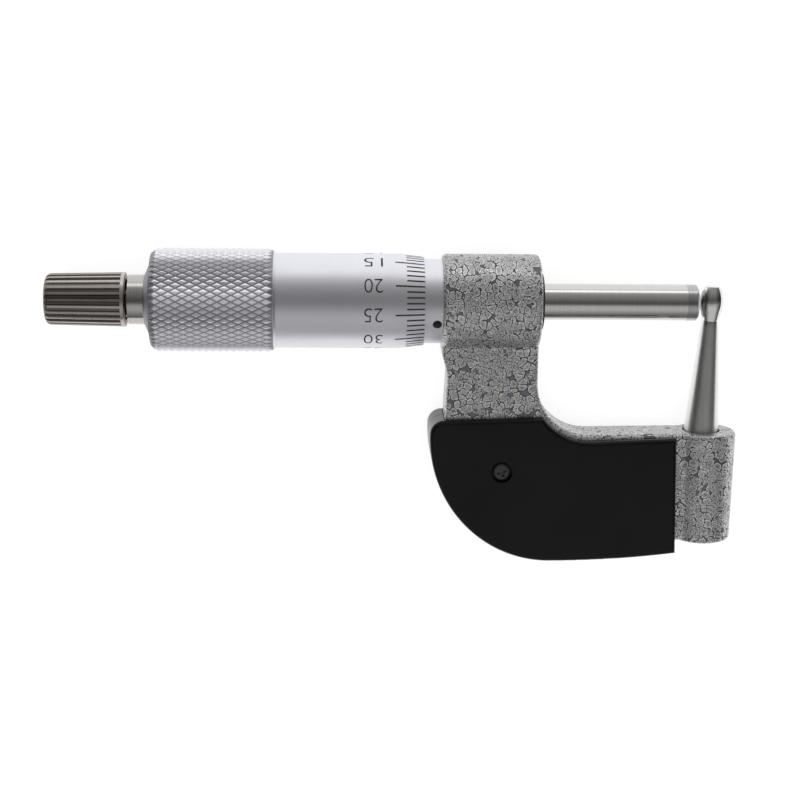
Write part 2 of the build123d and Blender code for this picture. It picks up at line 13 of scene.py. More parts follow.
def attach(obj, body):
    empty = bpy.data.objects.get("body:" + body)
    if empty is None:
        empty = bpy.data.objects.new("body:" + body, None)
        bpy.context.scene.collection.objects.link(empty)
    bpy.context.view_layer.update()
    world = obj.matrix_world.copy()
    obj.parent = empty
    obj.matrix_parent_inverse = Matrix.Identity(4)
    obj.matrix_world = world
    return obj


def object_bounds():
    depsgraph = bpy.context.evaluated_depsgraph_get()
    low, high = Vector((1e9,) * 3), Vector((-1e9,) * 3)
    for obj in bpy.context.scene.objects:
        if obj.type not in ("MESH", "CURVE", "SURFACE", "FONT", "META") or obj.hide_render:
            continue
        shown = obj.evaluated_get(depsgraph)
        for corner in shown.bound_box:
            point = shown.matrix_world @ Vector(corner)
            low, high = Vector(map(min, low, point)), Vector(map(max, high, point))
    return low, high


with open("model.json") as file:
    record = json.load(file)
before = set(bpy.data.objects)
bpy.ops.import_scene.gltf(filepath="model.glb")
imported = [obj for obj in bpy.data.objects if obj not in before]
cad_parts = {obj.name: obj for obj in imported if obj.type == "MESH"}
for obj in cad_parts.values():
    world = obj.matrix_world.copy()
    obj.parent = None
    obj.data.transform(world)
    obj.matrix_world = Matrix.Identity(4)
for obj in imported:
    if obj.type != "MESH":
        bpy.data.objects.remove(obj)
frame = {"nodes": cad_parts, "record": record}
cad_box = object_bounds()
nodes = frame["nodes"]
record = frame["record"]

MM = 0.001

# Thimble, the same sizes as the solid's
thimble_front = -49.7
thimble_r = 8.45
thimble_edge_r = 7.86
bevel_start = 7.6
bevel_arc_end = 2.3
bevel_arc_r = 8.13
sleeve_r = 7.5

# Knurl, knob and post, the same sizes as the solids', for the finish in their grooves
knurl_r = 9.25
knurl_right = -76.3
knurl_fade = 0.1
knurl_depth = 0.48
knob_cone_r = 6.71
knob_cone_slope = 0.0185
flute_depth = 0.3
post_head_low = -4.5
post_head_full = -3.5

# Scale on the thimble. index_mark is the place in the count that index_turn, from straight
# up, is given for
mark_count = 50
index_mark = 22.5
index_turn = radians(-10.1)
tick_right = -49.75
short_tick_left = -52.9
long_tick_left = -54.9
tick_width = 0.3
number_middle = -58.75
number_height = 2.6
number_width = 3.3
number_thinning = -0.012
number_every = 5
two_figures = 10
tick_cuts = 8
cut_step = 0.3
weld_reach = 1e-4

# Scale on the sleeve, on the side away from the camera
sleeve_index = radians(202.2)
sleeve_zero = -49.18
sleeve_travel = 25
sleeve_line_right = -46.9
sleeve_line_extra = 0.4
sleeve_tick = 1.5
sleeve_long_tick = 2.3
sleeve_line_width = 0.16
sleeve_number_height = 1.7
sleeve_number_gap = 0.45

# How far the ink stands out of the metal, and how deep it goes in
ink_proud = 0.012
ink_depth = 0.05

# Camera, fitted to the photograph
camera_place = (-65.804, 57.334, 330.0)
camera_pitch = radians(12.885)
camera_yaw = radians(2.0536)
camera_lean = radians(0.2167)
camera_lens = 84.3
camera_sensor = 36.0

# Studio, in metres: the place that the soft boxes face, and the floor
light_aim = (-0.055, -0.012, 0.0)
floor_radius = 20.0


def face_axis(name):
    """Outward axis of one of the record's mounts."""
    return next(mount["axis"] for mount in record["mounts"] if mount["name"] == name)


back_axis = face_axis("back_cover_face")
laid_turn = Matrix.Rotation(atan2(-back_axis[1], back_axis[2]), 4, "X")


def laid(x, y, z):
    """A place in the tool's directions, in millimetres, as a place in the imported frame."""
    return laid_turn @ (Vector((x, y, z)) * MM)


# Shader helpers


# Places of the sockets that a Mix node keeps for vectors and for colours
vector_one, vector_other, vector_out = 4, 5, 1
colour_one, colour_other, colour_out = 6, 7, 2
across_axis = (0.0, 1.0, 1.0)


def put(tree, kind, inputs=None, **settings):
    """A new node with its settings and the starting values of its named inputs."""
    made = tree.nodes.new(kind)
    for name, value in settings.items():
        setattr(made, name, value)
    for name, value in (inputs or {}).items():
        made.inputs[name].default_value = value
    return made


def new_group(name, inputs, outputs):
    """A shader node group with named sockets, and its two end nodes."""
    group = bpy.data.node_groups.new(name, "ShaderNodeTree")
    for socket, kind, value in inputs:
        made = group.interface.new_socket(socket, in_out="INPUT", socket_type=kind)
        if value is not None:
            made.default_value = value
    for socket, kind in outputs:
        group.interface.new_socket(socket, in_out="OUTPUT", socket_type=kind)
    return group, group.nodes.new("NodeGroupInput"), group.nodes.new("NodeGroupOutput")


def make_streaks_group():
    """Fine tool lines: noise that is drawn out along the directions with a small stretch."""
    group, start, end = new_group(
        "streaks",
        [
            ("Vector", "NodeSocketVector", None),
            ("Stretch", "NodeSocketVector", (1.0, 0.02, 0.02)),
            ("Scale", "NodeSocketFloat", 6000.0),
            ("Detail", "NodeSocketFloat", 3.0),
        ],
        [("Tone", "NodeSocketFloat")],
    )
    link = group.links.new
    stretched = put(group, "ShaderNodeVectorMath", operation="MULTIPLY")
    noise = put(group, "ShaderNodeTexNoise")
    link(start.outputs["Vector"], stretched.inputs[0])
    link(start.outputs["Stretch"], stretched.inputs[1])
    link(stretched.outputs["Vector"], noise.inputs["Vector"])
    link(start.outputs["Scale"], noise.inputs["Scale"])
    link(start.outputs["Detail"], noise.inputs["Detail"])
    link(noise.outputs["Fac"], end.inputs["Tone"])
    return group


def make_handling_group():
    """Soft patches from handling, given between a low and a high value."""
    group, start, end = new_group(
        "handling",
        [
            ("Vector", "NodeSocketVector", None),
            ("Scale", "NodeSocketFloat", 120.0),
            ("Low", "NodeSocketFloat", 0.2),
            ("High", "NodeSocketFloat", 0.3),
        ],
        [("Value", "NodeSocketFloat")],
    )
    link = group.links.new
    noise = put(group, "ShaderNodeTexNoise", {"Detail": 4.0, "Roughness": 0.6})
    spread = put(group, "ShaderNodeMapRange", {"From Min": 0.35, "From Max": 0.65})
    link(start.outputs["Vector"], noise.inputs["Vector"])
    link(start.outputs["Scale"], noise.inputs["Scale"])
    link(noise.outputs["Fac"], spread.inputs["Value"])
    link(start.outputs["Low"], spread.inputs["To Min"])
    link(start.outputs["High"], spread.inputs["To Max"])
    link(spread.outputs["Result"], end.inputs["Value"])
    return group


def make_depth_group():
    """How far a place lies in from a cone round the spindle axis: 0 at the outside, 1 at
    the given depth. It tells the floor of a groove from the ridge beside it."""
    group, start, end = new_group(
        "depth_in_groove",
        [
            ("Vector", "NodeSocketVector", None),
            ("Outside", "NodeSocketFloat", 0.005),
            ("Slope", "NodeSocketFloat", 0.0),
            ("Depth", "NodeSocketFloat", 0.0004),
        ],
        [("Depth", "NodeSocketFloat")],
    )
    link = group.links.new
    parts = put(group, "ShaderNodeSeparateXYZ")
    side = put(group, "ShaderNodeVectorMath", operation="MULTIPLY")
    side.inputs[1].default_value = across_axis
    length = put(group, "ShaderNodeVectorMath", operation="LENGTH")
    rise = put(group, "ShaderNodeMath", operation="MULTIPLY_ADD")
    gap = put(group, "ShaderNodeMath", operation="SUBTRACT")
    share = put(group, "ShaderNodeMath", operation="DIVIDE", use_clamp=True)
    link(start.outputs["Vector"], parts.inputs["Vector"])
    link(start.outputs["Vector"], side.inputs[0])
    link(side.outputs["Vector"], length.inputs[0])
    link(parts.outputs["X"], rise.inputs[0])
    link(start.outputs["Slope"], rise.inputs[1])
    link(start.outputs["Outside"], rise.inputs[2])
    link(rise.outputs["Value"], gap.inputs[0])
    link(length.outputs["Value"], gap.inputs[1])
    link(gap.outputs["Value"], share.inputs[0])
    link(start.outputs["Depth"], share.inputs[1])
    link(share.outputs["Value"], end.inputs["Depth"])
    return group


def make_facing_group():
    """Flat coordinates for a pattern on a solid's faces: each face takes the two directions
    that lie most nearly in it."""
    group, start, end = new_group(
        "facing", [("Vector", "NodeSocketVector", None)], [("Vector", "NodeSocketVector")]
    )
    link = group.links.new
    surface = put(group, "ShaderNodeNewGeometry")
    size = put(group, "ShaderNodeVectorMath", operation="ABSOLUTE")
    facing = put(group, "ShaderNodeSeparateXYZ")
    place = put(group, "ShaderNodeSeparateXYZ")
    from_above, from_front, from_end = [put(group, "ShaderNodeCombineXYZ") for each in range(3)]
    sideways = put(group, "ShaderNodeMath", operation="GREATER_THAN")
    highest = put(group, "ShaderNodeMath", operation="MAXIMUM")
    upright = put(group, "ShaderNodeMath", operation="GREATER_THAN")
    upright_or_end = put(group, "ShaderNodeMix", data_type="VECTOR")
    chosen = put(group, "ShaderNodeMix", data_type="VECTOR")
    link(surface.outputs["Normal"], size.inputs[0])
    link(size.outputs["Vector"], facing.inputs["Vector"])
    link(start.outputs["Vector"], place.inputs["Vector"])
    for made, first, second in zip((from_above, from_front, from_end), "XXY", "YZZ"):
        link(place.outputs[first], made.inputs["X"])
        link(place.outputs[second], made.inputs["Y"])
    link(facing.outputs["Y"], sideways.inputs[0])
    link(facing.outputs["X"], sideways.inputs[1])
    link(facing.outputs["X"], highest.inputs[0])
    link(facing.outputs["Y"], highest.inputs[1])
    link(facing.outputs["Z"], upright.inputs[0])
    link(highest.outputs["Value"], upright.inputs[1])
    link(sideways.outputs["Value"], upright_or_end.inputs[0])
    link(from_end.outputs["Vector"], upright_or_end.inputs[vector_one])
    link(from_front.outputs["Vector"], upright_or_end.inputs[vector_other])
    link(upright.outputs["Value"], chosen.inputs[0])
    link(upright_or_end.outputs[vector_out], chosen.inputs[vector_one])
    link(from_above.outputs["Vector"], chosen.inputs[vector_other])
    link(chosen.outputs[vector_out], end.inputs["Vector"])
    return group


streaks_group = make_streaks_group()
facing_group = make_facing_group()
handling_group = make_handling_group()
depth_group = make_depth_group()


class Finish:
    """A material with one Principled shader, and the few steps that its nodes share."""

    def __init__(self, name, **sockets):
        self.material = bpy.data.materials.new(name)
        self.material.use_nodes = True
        self.tree = self.material.node_tree
        self.shader = self.tree.nodes["Principled BSDF"]
        self.place = put(self.tree, "ShaderNodeTexCoord").outputs["Object"]
        for socket, value in sockets.items():
            self.shader.inputs[socket.replace("_", " ")].default_value = value

    def put(self, kind, inputs=None, **settings):
        return put(self.tree, kind, inputs, **settings)

    def link(self, start, end):
        self.tree.links.new(start, end)

    def group(self, group, **values):
        """A shared group placed here with this finish's own values."""
        made = self.put("ShaderNodeGroup", node_tree=group)
        self.link(self.place, made.inputs["Vector"])
        for socket, value in values.items():
            made.inputs[socket].default_value = value
        return made.outputs[0]

    def noise(self, scale, detail=2.0, roughness=0.5):
        made = self.put(
            "ShaderNodeTexNoise", {"Scale": scale, "Detail": detail, "Roughness": roughness}
        )
        self.link(self.place, made.inputs["Vector"])
        return made.outputs["Fac"]

    def ramp(self, value, *stops):
        """A colour ramp with (place, colour) stops, driven by value."""
        made = self.put("ShaderNodeValToRGB")
        points = made.color_ramp.elements
        while len(points) < len(stops):
            points.new(0.5)
        for point, (place, colour) in zip(points, stops):
            point.position = place
            point.color = (*colour, 1.0)
        self.link(value, made.inputs["Fac"])
        return made.outputs["Color"]

    def span(self, value, low, high, to_low=0.0, to_high=1.0, smooth=False):
        """value between low and high, spread over to_low to to_high."""
        made = self.put(
            "ShaderNodeMapRange",
            {"From Min": low, "From Max": high, "To Min": to_low, "To Max": to_high},
            interpolation_type="SMOOTHSTEP" if smooth else "LINEAR",
        )
        self.link(value, made.inputs["Value"])
        return made.outputs["Result"]

    def maths(self, operation, first, second):
        made = self.put("ShaderNodeMath", operation=operation)
        for socket, value in zip(made.inputs, (first, second)):
            if isinstance(value, (int, float)):
                socket.default_value = value
            else:
                self.link(value, socket)
        return made.outputs["Value"]

    def mix(self, share, first, second, blend="MIX"):
        """Colour mix. share, first and second are sockets, numbers or colours."""
        made = self.put("ShaderNodeMix", data_type="RGBA", blend_type=blend)
        sockets = [made.inputs[place] for place in (0, colour_one, colour_other)]
        for socket, value in zip(sockets, (share, first, second)):
            if isinstance(value, tuple):
                socket.default_value = (*value, 1.0)
            elif isinstance(value, (int, float)):
                socket.default_value = value
            else:
                self.link(value, socket)
        return made.outputs[colour_out]

    def bump(self, height, distance, strength):
        """Relief from a height, in metres at its full value."""
        made = self.put("ShaderNodeBump", {"Strength": strength, "Distance": distance})
        self.link(height, made.inputs["Height"])
        self.link(made.outputs["Normal"], self.shader.inputs["Normal"])
        return made.outputs["Normal"]

    def colour(self, socket):
        self.link(socket, self.shader.inputs["Base Color"])

    def roughness(self, socket):
        self.link(socket, self.shader.inputs["Roughness"])


# How far a streak is squeezed along X, Y and Z: a small number draws it out that way
turned_rings = (1.0, 0.015, 0.015)
drawn_upright = (1.0, 0.012, 1.0)


def hammered_paint():
    """Grey hammered enamel: closely packed round cells, each with a pale ring inside its
    dark border, and blue-grey ground where they don't meet."""
    finish = Finish("hammered_paint", Coat_Weight=0.3, Coat_Roughness=0.12)
    flat = finish.group(facing_group)
    wander = finish.put("ShaderNodeTexNoise", {"Scale": 1100.0, "Detail": 1.0})
    finish.link(flat, wander.inputs["Vector"])
    centred = finish.put("ShaderNodeVectorMath", operation="SUBTRACT")
    finish.link(wander.outputs["Color"], centred.inputs[0])
    centred.inputs[1].default_value = (0.5, 0.5, 0.5)
    moved = finish.put("ShaderNodeVectorMath", operation="MULTIPLY_ADD")
    finish.link(centred.outputs["Vector"], moved.inputs[0])
    moved.inputs[1].default_value = (0.0006, 0.0006, 0.0006)
    finish.link(flat, moved.inputs[2])

    def cells(scale, reach):
        """How far in from its cell's border a place lies, and a number for the cell."""
        edge = finish.put("ShaderNodeTexVoronoi", {"Scale": scale}, feature="DISTANCE_TO_EDGE")
        inner = finish.put("ShaderNodeTexVoronoi", {"Scale": scale}, feature="F1")
        for texture in (edge, inner):
            texture.voronoi_dimensions = "2D"
            finish.link(moved.outputs["Vector"], texture.inputs["Vector"])
        tone = finish.put("ShaderNodeSeparateColor")
        finish.link(inner.outputs["Color"], tone.inputs["Color"])
        from_middle = finish.maths("SUBTRACT", reach, inner.outputs["Distance"])
        return finish.maths("MINIMUM", edge.outputs["Distance"], from_middle), tone.outputs["Red"]

    large = cells(740.0, 0.7)
    small = cells(1150.0, 0.72)
    choice = finish.span(finish.noise(420.0, 1.0), 0.48, 0.52, smooth=True)
    inside, tone = [finish.mix(choice, one, other) for one, other in zip(large, small)]
    swirl = finish.span(finish.noise(3400.0, 1.0), 0.3, 0.7, -0.045, 0.045)
    inside = finish.maths("ADD", inside, swirl)
    cell = finish.span(inside, 0.035, 0.105, smooth=True)
    open_ground = finish.span(inside, 0.0, -0.07, smooth=True)
    rings = finish.ramp(
        inside,
        (0.08, (1.0, 1.0, 1.0)),
        (0.14, (1.0, 1.0, 1.0)),
        (0.22, (0.05, 0.05, 0.05)),
        (0.3, (0.6, 0.6, 0.6)),
        (0.38, (0.0, 0.0, 0.0)),
    )
    ground = finish.mix(open_ground, (0.016, 0.017, 0.02), (0.1, 0.104, 0.12))
    body = finish.ramp(tone, (0.0, (0.17, 0.171, 0.171)), (1.0, (0.34, 0.341, 0.338)))
    mottle = finish.span(finish.noise(2300.0, 2.0), 0.35, 0.65, 0.72, 1.0)
    body = finish.mix(1.0, body, mottle, blend="MULTIPLY")
    ringed = finish.mix(finish.maths("MULTIPLY", rings, 0.85), body, (0.82, 0.82, 0.81))
    finish.colour(finish.mix(cell, ground, ringed))
    finish.link(finish.span(cell, 0.0, 1.0, 0.4, 0.72), finish.shader.inputs["Metallic"])
    finish.roughness(finish.span(cell, 0.0, 1.0, 0.4, 0.27))
    finish.bump(finish.maths("ADD", cell, finish.maths("MULTIPLY", rings, 0.45)), 0.00006, 0.8)
    return finish.material


def satin_chrome():
    """Satin chrome over fine turning. In the knurl the valleys carry painted shade, and the light
    on the facets is softened towards that on a plain drum."""
    finish = Finish("satin_chrome")
    lines = finish.group(streaks_group, Stretch=turned_rings, Scale=9000.0, Detail=3.0)
    grain = finish.noise(16000.0, 1.0)
    depth = finish.group(depth_group, Outside=knurl_r * MM, Depth=knurl_depth * MM)
    body = finish.ramp(lines, (0.3, (0.79, 0.79, 0.84)), (0.7, (0.82, 0.82, 0.87)))
    in_band = finish.put("ShaderNodeSeparateXYZ")
    finish.link(finish.place, in_band.inputs["Vector"])
    band_start, band_full = knurl_right * MM, (knurl_right - knurl_fade) * MM
    band = finish.span(in_band.outputs["X"], band_start, band_full)
    # Painted shade: the deeper into the knurl's valleys, the darker the colour
    painted_valley_shade = finish.span(depth, 0.6, 0.98, 0.0, 0.78, smooth=True)
    facet = finish.mix(painted_valley_shade, (0.84, 0.84, 0.89), (0.15, 0.15, 0.165))
    finish.colour(finish.mix(band, body, facet))
    finish.link(finish.span(band, 0.0, 1.0, 1.0, 0.86), finish.shader.inputs["Metallic"])
    plain = finish.group(handling_group, Scale=140.0, Low=0.44, High=0.48)
    finish.roughness(finish.maths("SUBTRACT", plain, finish.maths("MULTIPLY", band, 0.12)))
    turning, speckle = finish.maths("MULTIPLY", lines, 0.6), finish.maths("MULTIPLY", grain, 0.4)
    height = finish.maths("ADD", turning, speckle)
    grained = finish.bump(height, 0.000004, 0.5)
    outward = finish.put("ShaderNodeVectorMath", operation="MULTIPLY")
    outward.inputs[1].default_value = across_axis
    finish.link(finish.place, outward.inputs[0])
    turned = finish.put(
        "ShaderNodeVectorTransform",
        vector_type="NORMAL",
        convert_from="OBJECT",
        convert_to="WORLD",
    )
    finish.link(outward.outputs["Vector"], turned.inputs["Vector"])
    softened = finish.put("ShaderNodeMix", data_type="VECTOR")
    finish.link(finish.span(band, 0.0, 1.0, 0.0, 0.38), softened.inputs[0])
    finish.link(grained, softened.inputs[vector_one])
    finish.link(turned.outputs["Vector"], softened.inputs[vector_other])
    unit = finish.put("ShaderNodeVectorMath", operation="NORMALIZE")
    finish.link(softened.outputs[vector_out], unit.inputs[0])
    finish.link(unit.outputs["Vector"], finish.shader.inputs["Normal"])
    return finish.material


def turned_steel(name, dark, light, low, high):
    """Bare steel with the rings of turning or grinding. low and high bound its roughness."""
    finish = Finish(name, Metallic=1.0)
    lines = finish.group(streaks_group, Stretch=turned_rings, Scale=7000.0, Detail=4.0)
    finish.colour(finish.ramp(lines, (0.3, dark), (0.7, light)))
    finish.roughness(finish.group(handling_group, Scale=160.0, Low=low, High=high))
    finish.bump(lines, 0.000002, 0.5)
    return finish.material


def brushed_post():
    """Steel polished along the post, so the lines run up it, and brighter on the head."""
    finish = Finish("brushed_post", Metallic=1.0)
    lines = finish.group(streaks_group, Stretch=drawn_upright, Scale=7000.0, Detail=4.0)
    finish.colour(finish.ramp(lines, (0.3, (0.72, 0.715, 0.705)), (0.7, (0.86, 0.855, 0.84))))
    place = finish.put("ShaderNodeSeparateXYZ")
    finish.link(finish.place, place.inputs["Vector"])
    polish = finish.span(place.outputs["Y"], post_head_low * MM, post_head_full * MM, 0.0, -0.17)
    plain = finish.group(handling_group, Scale=160.0, Low=0.27, High=0.34)
    finish.roughness(finish.maths("ADD", plain, polish))
    finish.bump(lines, 0.000003, 0.5)
    return finish.material


def fluted_steel():
    """Warm dark steel of the knob: the ridges in its plain colour, the flutes darkened with
    painted shade.
    """
    finish = Finish("fluted_steel", Metallic=1.0)
    lines = finish.group(streaks_group, Stretch=turned_rings, Scale=8000.0, Detail=3.0)
    depth = finish.group(
        depth_group, Outside=knob_cone_r * MM, Slope=knob_cone_slope, Depth=flute_depth * MM
    )
    ridge = finish.ramp(lines, (0.3, (0.46, 0.422, 0.4)), (0.7, (0.54, 0.5, 0.472)))
    # Painted shade: the deeper into a flute, the nearer the colour goes to a dark brown
    finish.colour(finish.mix(finish.maths("MULTIPLY", depth, 0.85), ridge, (0.1, 0.09, 0.082)))
    finish.roughness(finish.group(handling_group, Scale=200.0, Low=0.26, High=0.34))
    finish.bump(lines, 0.000003, 0.4)
    return finish.material


def moulded_plastic():
    """Black moulding with a fine spark-eroded grain."""
    finish = Finish("moulded_plastic", Specular_IOR_Level=0.2)
    grain = finish.noise(5200.0, 3.0, 0.6)
    patches = finish.noise(90.0, 3.0)
    dark, light = (0.0032, 0.0032, 0.0034), (0.0045, 0.0045, 0.0047)
    finish.colour(finish.ramp(patches, (0.3, dark), (0.7, light)))
    finish.roughness(finish.group(handling_group, Scale=70.0, Low=0.2, High=0.28))
    finish.bump(grain, 0.000006, 0.25)
    return finish.material


def blackened(name, colour, low, high):
    """Blackened steel with a little oil sheen."""
    finish = Finish(name, Metallic=0.35)
    patches = finish.noise(260.0, 3.0)
    lighter = tuple(1.6 * part for part in colour)
    finish.colour(finish.ramp(patches, (0.35, colour), (0.65, lighter)))
    finish.roughness(finish.group(handling_group, Scale=220.0, Low=low, High=high))
    finish.bump(finish.noise(9000.0, 2.0), 0.000004, 0.4)
    return finish.material


def mark_ink():
    """Dark filling of the engraved marks."""
    finish = Finish("mark_ink", Specular_IOR_Level=0.3)
    patches = finish.noise(2500.0, 2.0)
    finish.colour(finish.ramp(patches, (0.3, (0.02, 0.018, 0.016)), (0.7, (0.032, 0.03, 0.027))))
    finish.roughness(finish.group(handling_group, Scale=400.0, Low=0.5, High=0.62))
    return finish.material


finishes = {
    "frame": hammered_paint(),
    "anvil_post": brushed_post(),
    "spindle": turned_steel("ground_spindle", (0.6, 0.59, 0.58), (0.66, 0.65, 0.635), 0.09, 0.13),
    "spindle_tip": turned_steel("lapped_carbide", (0.42, 0.42, 0.42), (0.5, 0.5, 0.5), 0.18, 0.24),
    "thimble": satin_chrome(),
    "ratchet_knob": fluted_steel(),
    "ratchet_stem": turned_steel(
        "warm_turned_steel", (0.45, 0.435, 0.415), (0.53, 0.51, 0.49), 0.14, 0.2
    ),
    "adjusting_nut": turned_steel(
        "plain_steel", (0.38, 0.38, 0.385), (0.48, 0.48, 0.485), 0.3, 0.4
    ),
    "guide_sleeve": blackened("blackened_steel", (0.02, 0.02, 0.021), 0.35, 0.45),
    "lock_lever": blackened("oil_black_steel", (0.022, 0.022, 0.023), 0.3, 0.42),
    "lock_pad": turned_steel("brass", (0.52, 0.36, 0.14), (0.6, 0.43, 0.19), 0.3, 0.4),
    "back_cover": moulded_plastic(),
}
same_finish = {
    "graduated_sleeve": "thimble",
    "front_cover": "back_cover",
    "cover_screw": "lock_lever",
    "ratchet_ring": "adjusting_nut",
    "ratchet_spring": "adjusting_nut",
    "ratchet_washer": "adjusting_nut",
    "ratchet_screw": "adjusting_nut",
    "lock_screw": "adjusting_nut",
}
for name, node in nodes.items():
    finish = finishes[same_finish.get(name, name)]
    for material_slot in node.material_slots:
        material_slot.material = finish
ink = mark_ink()


# Scale marks. They are laid out flat, X along the tool and Y round it, and then wrapped
# onto the metal with their face just proud of it


def thimble_profile(x):
    """Radius of the thimble's smooth part at a place along the tool."""
    bevel_left, arc_right = thimble_front - bevel_start, thimble_front - bevel_arc_end
    if x <= bevel_left:
        return thimble_r
    if x >= arc_right:
        share = (x - arc_right) / (thimble_front - arc_right)
        return bevel_arc_r + share * (thimble_edge_r - bevel_arc_r)
    run, drop = arc_right - bevel_left, thimble_r - bevel_arc_r
    curve = (run**2 + drop**2) / (2 * drop)
    return thimble_r - curve + sqrt(curve**2 - (x - bevel_left) ** 2)


def sleeve_profile(x):
    """Radius of the sleeve, the same all along."""
    return sleeve_r


def flat_bar(flat, x_from, x_to, y_from, y_to, cuts):
    """A flat bar between two corners, cut across so that it can follow a curve."""
    place = Matrix.Translation(((x_from + x_to) / 2, (y_from + y_to) / 2, 0))
    size = Matrix.Diagonal((abs(x_to - x_from), abs(y_to - y_from), 1, 1))
    bmesh.ops.create_grid(flat, x_segments=cuts, y_segments=2, size=0.5, matrix=place @ size)


def flat_number(flat, word, middle, height, width=None):
    """A number that reads towards -X, with its top towards +Y."""
    letters = bpy.data.curves.new("number", "FONT")
    letters.body = word
    letters.resolution_u = 4
    letters.offset = number_thinning
    holder = bpy.data.objects.new("number", letters)
    bpy.context.scene.collection.objects.link(holder)
    mesh = bpy.data.meshes.new_from_object(holder)
    bpy.data.objects.remove(holder)
    bpy.data.curves.remove(letters)
    xs = [vertex.co.x for vertex in mesh.vertices]
    ys = [vertex.co.y for vertex in mesh.vertices]
    tall = height / (max(ys) - min(ys))
    wide = width / (max(xs) - min(xs)) if width else tall
    centre = Matrix.Translation((-(max(xs) + min(xs)) / 2, -(max(ys) + min(ys)) / 2, 0))
    size = Matrix.Diagonal((-wide, tall, 1, 1))
    mesh.transform(Matrix.Translation((*middle, 0)) @ size @ centre)
    flat.from_mesh(mesh)
    bpy.data.meshes.remove(mesh)


def cut_round(flat):
    """Cuts the flat layout across, so that its pieces bend round the tool smoothly."""
    heights = [vertex.co.y for vertex in flat.verts]
    place = min(heights) + cut_step
    while place < max(heights):
        crossed = []
        for edge in flat.edges:
            low, high = sorted(vertex.co.y for vertex in edge.verts)
            if low < place < high:
                crossed.append(edge)
        near = {face for edge in crossed for face in edge.link_faces}
        parts = list(near) + list({edge for face in near for edge in face.edges})
        parts += list({vertex for face in near for vertex in face.verts})
        bmesh.ops.bisect_plane(
            flat, geom=parts, dist=1e-5, plane_co=(0, place, 0), plane_no=(0, 1, 0)
        )
        place += cut_step


def wrap_marks(name, flat, profile, widest_r, body):
    """Gives the flat layout its thickness, wraps it and makes it a piece of the body. The
    layout's Y is the way round at the profile's widest radius."""
    bmesh.ops.remove_doubles(flat, verts=flat.verts[:], dist=weld_reach)
    cut_round(flat)
    shell = bmesh.ops.extrude_face_region(flat, geom=flat.faces[:], use_keep_orig=True)
    raised = [part for part in shell["geom"] if isinstance(part, bmesh.types.BMVert)]
    bmesh.ops.translate(flat, verts=raised, vec=(0, 0, ink_proud + ink_depth))
    for vertex in flat.verts:
        x, round_way, height = vertex.co
        radius = profile(x) + height - ink_depth
        turn = round_way / widest_r
        vertex.co = laid(x, -radius * sin(turn), radius * cos(turn))
    bmesh.ops.recalc_face_normals(flat, faces=flat.faces[:])
    mesh = bpy.data.meshes.new(name)
    flat.to_mesh(mesh)
    flat.free()
    mesh.materials.append(ink)
    piece = bpy.data.objects.new(name, mesh)
    bpy.context.scene.collection.objects.link(piece)
    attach(piece, body)


def make_thimble_marks():
    """The fifty parts of a turn, a longer mark and a number at every fifth."""
    flat = bmesh.new()
    half = tick_width / 2
    for mark in range(mark_count):
        middle = thimble_r * (index_turn + (mark - index_mark) * 2 * pi / mark_count)
        numbered = mark % number_every == 0
        left = long_tick_left if numbered else short_tick_left
        flat_bar(flat, left, tick_right, middle - half, middle + half, tick_cuts)
        if numbered:
            width = number_width if mark >= two_figures else None
            flat_number(flat, str(mark), (number_middle, middle), number_height, width)
    wrap_marks("thimble_marks", flat, thimble_profile, thimble_r, "thimble")


def make_sleeve_marks():
    """The line along the sleeve, whole millimetres on one side of it, halves on the other."""
    flat = bmesh.new()
    middle = sleeve_r * sleeve_index
    half = sleeve_line_width / 2
    line_left = sleeve_zero - sleeve_travel - sleeve_line_extra
    flat_bar(flat, line_left, sleeve_line_right, middle - half, middle + half, 2)
    for step in range(2 * sleeve_travel + 1):
        x = sleeve_zero - step / 2
        numbered = step % (2 * number_every) == 0
        length = sleeve_long_tick if numbered else sleeve_tick
        side = 1 if step % 2 == 0 else -1
        flat_bar(flat, x - half, x + half, middle, middle + side * length, 2)
        if numbered:
            centre = middle + length + sleeve_number_gap + sleeve_number_height / 2
            flat_number(flat, str(step // 2), (x, centre), sleeve_number_height)
    wrap_marks("sleeve_marks", flat, sleeve_profile, sleeve_r, "frame")


make_thimble_marks()
make_sleeve_marks()


# Studio


def set_levels(ramp, stops):
    """Grey stops of a colour ramp, as places from 0 to 1 with their levels."""
    points = ramp.color_ramp.elements
    while len(points) < len(stops):
        points.new(0.5)
    for point, (place, level) in zip(points, stops):
        point.position = place
        point.color = (level, level, level, 1.0)


